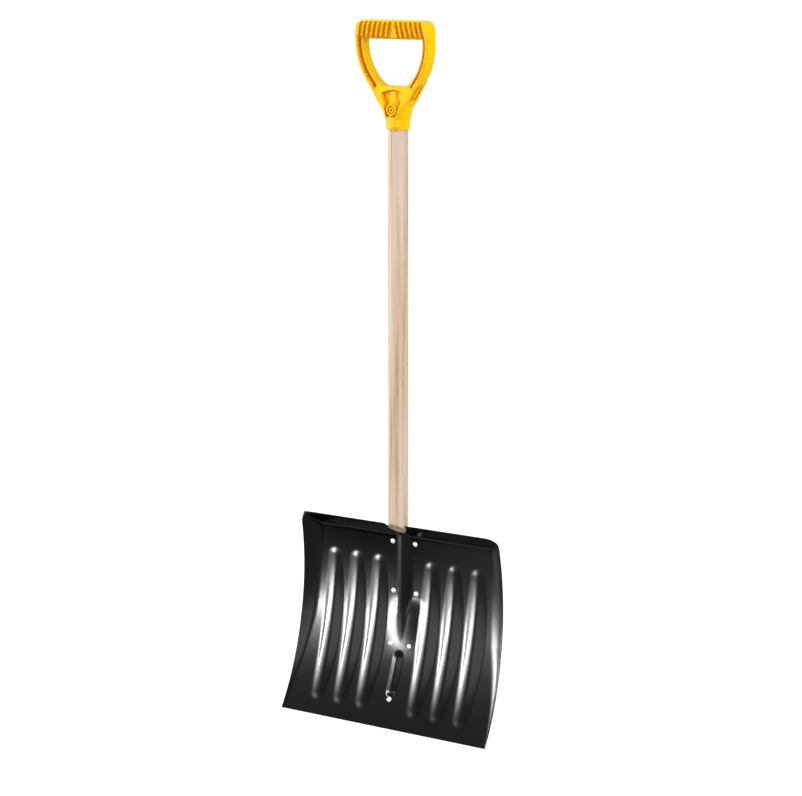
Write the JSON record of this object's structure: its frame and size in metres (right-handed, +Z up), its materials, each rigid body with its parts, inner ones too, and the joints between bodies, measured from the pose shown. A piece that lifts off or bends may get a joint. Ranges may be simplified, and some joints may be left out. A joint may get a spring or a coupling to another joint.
{
  "type": "snow shovel",
  "caption": "Snow shovel: curved ribbed steel blade with turned-up sides and lip, rear brace with rivets, straight wooden handle, moulded D-grip with ridged hand bar.",
  "frame": {"origin": "centre of the bounding box's bottom face, level with the middle of the blade's cutting edge", "axes": "+Z up along the handle, -Y the way the scooping face looks, +X along the cutting edge, to the right as seen from the front"},
  "size_m": [0.457, 0.0704, 1.2079],
  "materials": {
    "black_steel": "gloss black paint",
    "wood": "clear satin over pale straight-grained wood",
    "grip_plastic": "yellow moulded plastic",
    "bright_steel": "plain zinc-bright steel"
  },
  "bodies": {
    "root": {"blade": "black_steel", "rear_brace": "black_steel", "wood_handle": "wood", "d_grip": "grip_plastic", "grip_screw": "bright_steel", "handle_screw": "bright_steel", "rivet_upper_left": "bright_steel", "rivet_upper_right": "bright_steel", "rivet_middle_left": "bright_steel", "rivet_middle_right": "bright_steel", "rivet_lower_left": "bright_steel", "rivet_lower_right": "bright_steel", "rivet_tip": "bright_steel"}
  },
  "joints": []
}
